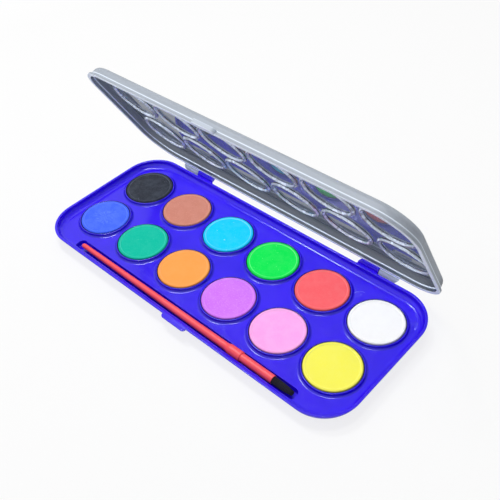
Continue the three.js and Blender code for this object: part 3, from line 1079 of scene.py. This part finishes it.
def hair(points):
    """One tapering hair, drawn out from a four-sided root."""
    mesh = bmesh.new()
    root = Matrix.Translation(points[0]) @ Matrix.Rotation(quarter, 4, "Y")
    bmesh.ops.create_circle(mesh, cap_ends=True, radius=hair_radius, segments=4, matrix=root)
    face = mesh.faces[:][0]
    for before, after in zip(points, points[1:]):
        grown = bmesh.ops.extrude_face_region(mesh, geom=[face])["geom"]
        tip = only(bmesh.types.BMVert, grown)
        bmesh.ops.translate(mesh, verts=tip, vec=after - before)
        face = only(bmesh.types.BMFace, grown)[0]
    from_tip = Matrix.Translation(-points[-1])
    bmesh.ops.scale(mesh, verts=tip, vec=(1, tip_share, tip_share), space=from_tip)
    bmesh.ops.recalc_face_normals(mesh, faces=mesh.faces)
    return mesh


def make_tuft():
    chance = random.Random(7)
    mesh = bmesh.new()
    for index in range(hair_count):
        moved_in(mesh, hair(hair_line(index, chance)))
    plug_start = Vector((ferrule_end - plug_depth, 0, 0))
    plug_end = Vector((ferrule_end - root_depth / 2, 0, 0))
    rod(mesh, plug_start, plug_end, ferrule_bore - plug_gap, brush_steps)
    bmesh.ops.translate(mesh, verts=mesh.verts, vec=(0, brush_y, brush_z))
    return solid("brush_tuft", mesh)


# %% Black hair
hair_tone = {"scale": 2500, "detail": 2, "level": 0.5, "softness": 0.2}
hair_roughness = 0.42
tone_roughness = 0.2


def black_hair():
    finish = Finish("black_hair", {"Specular IOR Level": 0.4})
    tone = finish.blotches(**hair_tone)
    colour = finish.blend(tone, shade(16, 15, 20), shade(40, 37, 46))
    finish.show(colour, hair_roughness + tone * tone_roughness)
    return finish


finished(make_tuft(), black_hair(), "brush", "brush_bristles")

# %% [markdown]
# ## The lid
#
# The lid is a shallow clear tray turned over, with twelve raised rings on its ceiling. When it is laid
# open, they are shallow wells for mixing colours. It is modelled shut, with the same pan function as the
# tray, and then turned open about the hinge line. Its rings are spun between two open loops, and the
# ceiling is filled round and inside them. Clear plastic shows both faces of a wall, so the mesh is one
# closed skin with nothing inside it.

# %% The shell of the lid, with its twelve rings
lid_rim = rim_top + 2 * half_gap
lid_height = 7 * mm
lid_top = lid_rim + lid_height
lid_wall = 1.2 * mm
lid_ceiling = lid_top - lid_wall
lid_flange = 0.8 * mm
lid_flange_height = 1.4 * mm
lid_draft = 0.5 * mm
lid_round = 3.2 * mm
lid_shoulder = lid_flange + lid_draft + lid_round
lid_shorter = 1.2 * mm
lid_length = box_length - lid_shorter
lid_ring_radius = 13.9 * mm
lid_ring_half = 1 * mm
lid_ring_height = 1.4 * mm
lid_ring_foot = 0.3 * mm
lid_ring_crown = 0.8 * lid_ring_half
lid_ring_steps = 10


def lid_section():
    """Ceiling, inner wall, rim, flange, outer wall and top, as (inset, height) points."""
    shoulder = lid_top - lid_round
    inner_rim = lid_flange + lid_wall
    flange_top = lid_rim + lid_flange_height
    return [
        *arc(lid_shoulder, shoulder, lid_round - lid_wall, 1, 2, hidden_steps),
        *arc(inner_rim - edge_round, lid_rim + edge_round, edge_round, 0, -1, edge_steps),
        *arc(edge_round, lid_rim + edge_round, edge_round, -1, -2, edge_steps),
        *arc(edge_round, flange_top - edge_round, edge_round, 2, 1, edge_steps),
        (lid_flange, flange_top),
        *arc(lid_shoulder, shoulder, lid_round, 2, 1, sweep_steps),
    ]


def lid_ring():
    """A half-round ridge on the ceiling, as (radius, height) points."""
    crown = lid_ceiling - lid_ring_height + lid_ring_crown
    inner = lid_ring_radius - lid_ring_half
    outer = lid_ring_radius + lid_ring_half
    return [
        (inner - lid_ring_foot, lid_ceiling),
        (inner, lid_ceiling - lid_ring_foot),
        *arc(lid_ring_radius, crown, lid_ring_crown, 2, 4, lid_ring_steps),
        (outer, lid_ceiling - lid_ring_foot),
        (outer + lid_ring_foot, lid_ceiling),
    ]


lid = shell("lid_body", lid_section(), lid_length, [lid_ring()], (lid_ceiling, lid_top))

# %% Put the lid together and open it
lid_tab = {"centre": -7.3 * mm, "width": 14.5 * mm}
lid_tab_height = 2.2 * mm
lid_knuckle = {"length": 9.3 * mm, "gusset": 3 * mm}
bore_radius = 1.3 * mm
open_degrees = 61.4
open_angle = math.radians(open_degrees)


def lid_fittings():
    """The clear knuckles with their bores, and the lid's own thumb tab."""
    made = tab(**lid_tab, edge_y=rim_front, low=lid_rim, high=lid_rim + lid_tab_height)
    for side in (-1, 1):
        start = side * (hinge_end + knuckle_gap)
        clear = knuckle(start, side, **lid_knuckle, seat=lid_flange + lid_draft, side=1)
        bore = bar(start - side * spare, side, pin_length + 2 * spare, bore_radius)
        made = merged(made, merged(clear, bore, "DIFFERENCE"), "UNION")
    return made


lid = merged(lid, lid_fittings(), "UNION")
opening = Matrix.Rotation(-open_angle, 4, "X")
lid.data.transform(Matrix.Translation(hinge) @ opening @ Matrix.Translation(-hinge))
print("lid opened by", open_degrees, "degrees")

# %% [markdown]
# A thin panel is never quite straight. That of the real lid stands a little steeper than its rim, too
# little to see in its shape, but a mirror doubles every slope: the images of the red and the green cake
# lie inside the rings. So the lid keeps its shape, and its shading normals lean by that slope.

# %% Lean the lid's shading normals
lean_slope = 0.03


def leaned(piece):
    """Keeps the even shading in the mesh, and turns its normals as a steeper panel's would be."""
    settled(piece)
    outwards = opening @ up
    forwards = opening @ Vector((0, -1, 0))
    normals = [corner.vector.copy() for corner in piece.data.corner_normals]
    lean = [forwards * normal.dot(outwards) * lean_slope for normal in normals]
    leaning = [(normal - by).normalized() for normal, by in zip(normals, lean)]
    piece.data.normals_split_custom_set(leaning)


# %% [markdown]
# Thin clear plastic is bright where it is looked through squarely, and dark where it is looked along,
# because it then mirrors a dim room. So the panel is a glass that turns smoky as the view gets
# flatter, and its edges are always rather smoky, since a look passes through more plastic there. A
# Glass shader tints its mirror image too and a Principled one doesn't, so half of each keeps some
# colour in the mirrored cakes. The ridges, the walls, two lines along the rim and the knuckles get a
# share of pale milky plastic, which is painted light: it stands in for the reflections and highlights
# that make them look bright, at places worked out as if the lid were shut. Rays from the lamps go
# straight through, because only thick glass would throw a shadow on what is behind it.

# %% Where milky plastic paints light on the clear lid
painted_light_shares = {"ring": 1, "dull": 0.5, "crest": 0.7, "wall": 0.42, "edge": 0.95, "knuckle": 0.6}
ring_brightness = {"scale": 260, "detail": 2, "level": 0.56, "softness": 0.05}
wall_streaks = {"scale": 1, "level": 0.5, "softness": 0.3, "roughness": 0.6}
streak_stretch = (25, 700, 700)
streak_shares = {"plain": 0.9, "streak": 0.2}
skin = 0.25 * mm
wall_line = 0.3 * mm
inner_line_height = 2.2 * mm
knuckle_reach = 0.6 * mm


def inset_of(across, back):
    """How far a place is inside the rounded rectangle of the lid."""
    over_x = (across - (lid_length / 2 - corner_radius)).or_more(0)
    over_y = (abs(back - box_centre_y) - (box_width / 2 - corner_radius)).or_more(0)
    return corner_radius - length_of(over_x, over_y)


def shut_place(finish):
    """Where a place would be if the lid were shut: across (without sign), back and height."""
    turned_hinge = Matrix.Rotation(open_angle, 3, "X") @ hinge
    shut = finish.place(centre=turned_hinge - hinge, turn=(open_angle, 0, 0))
    across, back, height = finish.apart(shut)
    return abs(across), back, height


def ring_painted_light(finish, across, back, height):
    """Painted light on the two flanks of a ridge, in bright and dull stretches."""
    from_axis = from_cup_axis(across, back)
    round_cup = from_axis.near(lid_ring_radius, lid_ring_half + skin, skin)
    on_ridge = round_cup * (lid_ceiling - height).above(skin, skin)
    crest = from_axis.near(lid_ring_radius, lid_ring_half / 3, skin)
    bright = finish.blotches(**ring_brightness)
    dull = 1 - (1 - bright) * painted_light_shares["dull"]
    return on_ridge * dull * (1 - crest * painted_light_shares["crest"])


def wall_painted_light(finish, across, back, height):
    """Painted light on the outside of the walls, streaked along the box, and clearer near the hinge."""
    inset = inset_of(across, back)
    over_side = (lid_shoulder - inset).or_more(0)
    over_top = (height - (lid_top - lid_round)).or_more(0)
    on_side = 1 - inset.above(lid_shoulder - skin, skin)
    outer_skin = length_of(over_side, over_top).above(lid_round - lid_wall / 2, skin) * on_side
    streaks = finish.blotches(**wall_streaks, place=finish.place(stretch=streak_stretch))
    from_hinge = 1 - back.above(rim_back - corner_radius, corner_radius / 2)
    return outer_skin * from_hinge * (streak_shares["plain"] + streaks * streak_shares["streak"])


def painted_light_amount(finish, across, back, height):
    """How much painted light, as pale milky plastic, the lid shows, from 0 to 1."""
    # Painted highlights: two pale lines along the rim, and pale knuckles and tab.
    inner_highlight_line = height.near(lid_rim + inner_line_height, wall_line, wall_line / 2)
    rim_highlight_line = height.near(lid_rim, wall_line, wall_line / 2)
    outer = back.above(rim_back + knuckle_reach, skin).or_more((-back).above(-rim_front, skin))
    share = ring_painted_light(finish, across, back, height) * painted_light_shares["ring"]
    share = share.or_more(wall_painted_light(finish, across, back, height) * painted_light_shares["wall"])
    share = share.or_more(inner_highlight_line.or_more(rim_highlight_line) * painted_light_shares["edge"])
    return share.or_more(outer * painted_light_shares["knuckle"])


# %% Clear plastic
smoke = shade(112, 118, 131)
clear = shade(226, 230, 236)
# A pale colour that paints light on the ridges, walls, rim lines and knuckles.
milky_painted_light = shade(228, 238, 250)
milky_noise = {"scale": 300, "roughness": 0.6}
milky_bump = {"depth": 0.03 * mm, "strength": 0.5}
plastic_ior = 1.49
glass_roughness = 0.02
edge_roughness = 0.4
smoky_shares = {"edge": 0.72, "untinted": 0.5}
flat_view = {"edge": 0.62, "softness": 0.14}


def tinted_glass(finish, colour, roughness):
    """A clear tinted plastic, of which a share leaves its mirror image untinted."""
    both = {"Roughness": roughness, "IOR": plastic_ior}
    dim = finish.node("ShaderNodeBsdfGlass", {"Color": colour, **both})
    through_two_faces = tuple(channel**2 for channel in colour)
    sockets = {"Base Color": through_two_faces, "Transmission Weight": 1, **both}
    bright = finish.node("ShaderNodeBsdfPrincipled", sockets)
    return finish.mixed(smoky_shares["untinted"], dim, bright)


def clear_plastic():
    finish = Finish("clear_plastic", {"Base Color": milky_painted_light, "Roughness": 0.6})
    bump = finish.bumped(finish.cloudy(**milky_noise), **milky_bump)
    finish.feed(finish.shader, {"Normal": bump})
    across, back, height = shut_place(finish)
    near_edge = 1 - inset_of(across, back).above(lid_shoulder, skin)
    roughness = glass_roughness + near_edge * edge_roughness
    looks = [tinted_glass(finish, colour, roughness) for colour in (clear, smoke)]
    from_the_side = finish.node("ShaderNodeLayerWeight", {"Blend": 0.5}, output="Facing")
    smoky = from_the_side.above(**flat_view).or_more(near_edge * smoky_shares["edge"])
    share = painted_light_amount(finish, across, back, height)
    plastic = finish.mixed(share, finish.mixed(smoky, *looks), finish.principled())
    open_way = finish.node("ShaderNodeBsdfTransparent", {"Color": shade(240, 242, 245)})
    finish.surface(finish.mixed(finish.ray("Is Shadow Ray"), plastic, open_way))
    return finish


finished(lid, clear_plastic(), "lid", "lid", reshaded=leaned)

# %% [markdown]
# ## Floor, lamps and camera
#
# The photograph is a cut-out on white, lit from above and from the left. Here a large soft window
# gives the broad light, and two lamps give the small highlights at the feet of the cups and along the
# fillets. The floor is pale and glows where it is looked at, mostly near the box and fully further
# off, which keeps it white and leaves the object's shadow in it. The lamps stay at a level at which a
# colour renders about as it is written.

# %% A pale floor
floor_half = 3
glow_share = 0.8
fade_middle = 0.3


def pale_floor():
    mesh = bmesh.new()
    bmesh.ops.create_grid(mesh, x_segments=1, y_segments=1, size=floor_half)
    floor = solid("pale_floor", mesh)
    finish = Finish("pale_floor", {"Base Color": shade(235, 235, 235), "Roughness": 0.9})
    glow = finish.node("ShaderNodeEmission", {"Color": shade(255, 255, 255), "Strength": 1})
    _, _, from_middle = finish.around()
    far = from_middle.above(fade_middle, fade_middle / 2)
    share = finish.looked_at() * far.or_more(glow_share)
    finish.surface(finish.mixed(share, finish.principled(), glow))
    floor.data.materials.append(finish.material)
    floor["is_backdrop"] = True


pale_floor()
print("floor", 2 * floor_half, "m across")

# %% Soft lamps and a pale room
lamps = {
    "window": {"place": (-0.5, -0.42, 0.75), "size": 1, "power": 2.2, "mirrored": False},
    "lamp_above": {"place": (-0.04, 0.06, 0.9), "size": 0.12, "power": 2.1, "mirrored": True},
    "lamp_left": {"place": (-0.4, 0.11, 0.86), "size": 0.14, "power": 2.8, "mirrored": True},
}
room_light = 0.4


def soft_lamp(name, place, size, power, mirrored):
    """A round lamp that shines on the middle of the box."""
    data = bpy.data.lights.new(name, "AREA")
    data.shape = "DISK"
    data.size = size
    data.energy = power
    lamp = bpy.data.objects.new(name, data)
    lamp.location = place
    lamp.rotation_euler = (-Vector(place)).to_track_quat("-Z", "Y").to_euler()
    lamp.visible_glossy = mirrored
    bpy.context.scene.collection.objects.link(lamp)


for name, lamp in lamps.items():
    soft_lamp(name, **lamp)
room = Finish("pale_room", {"Color": shade(255, 255, 255)}, "worlds", "Background")
room_level = room_light + room.looked_at() * (1 - room_light)
room.feed(room.shader, {"Strength": room_level})
bpy.context.scene.world = room.material
print("lamps", list(lamps))

# %% The camera, as the photograph was taken
sensor_width = 36
focal_length = 50.11
nearest_seen = 10 * mm
camera_place = Vector((198.42, -172.14, 268.18)) * mm
azimuth = math.radians(46.396)
elevation = math.radians(43.976)
roll = math.radians(-5.381)

camera_data = bpy.data.cameras.new("camera")
camera_data.sensor_width = sensor_width
camera_data.lens = focal_length
camera_data.clip_start = nearest_seen
camera = bpy.data.objects.new("camera", camera_data)
camera.location = camera_place
level = Euler((quarter - elevation, 0, azimuth)).to_quaternion()
camera.rotation_mode = "QUATERNION"
camera.rotation_quaternion = level @ Quaternion((0, 0, 1), roll)
bpy.context.scene.collection.objects.link(camera)
bpy.context.scene.camera = camera
bpy.context.scene.view_settings.view_transform = "Standard"
print("camera at", [round(value / mm) for value in camera_place], "mm")

# %% Print the finished sizes beside the imported ones
finished_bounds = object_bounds()
for name, (low, high) in (("cad", cad_bounds), ("finished", finished_bounds)):
    print(name, [round(value / mm, 2) for value in (*low, *high)])
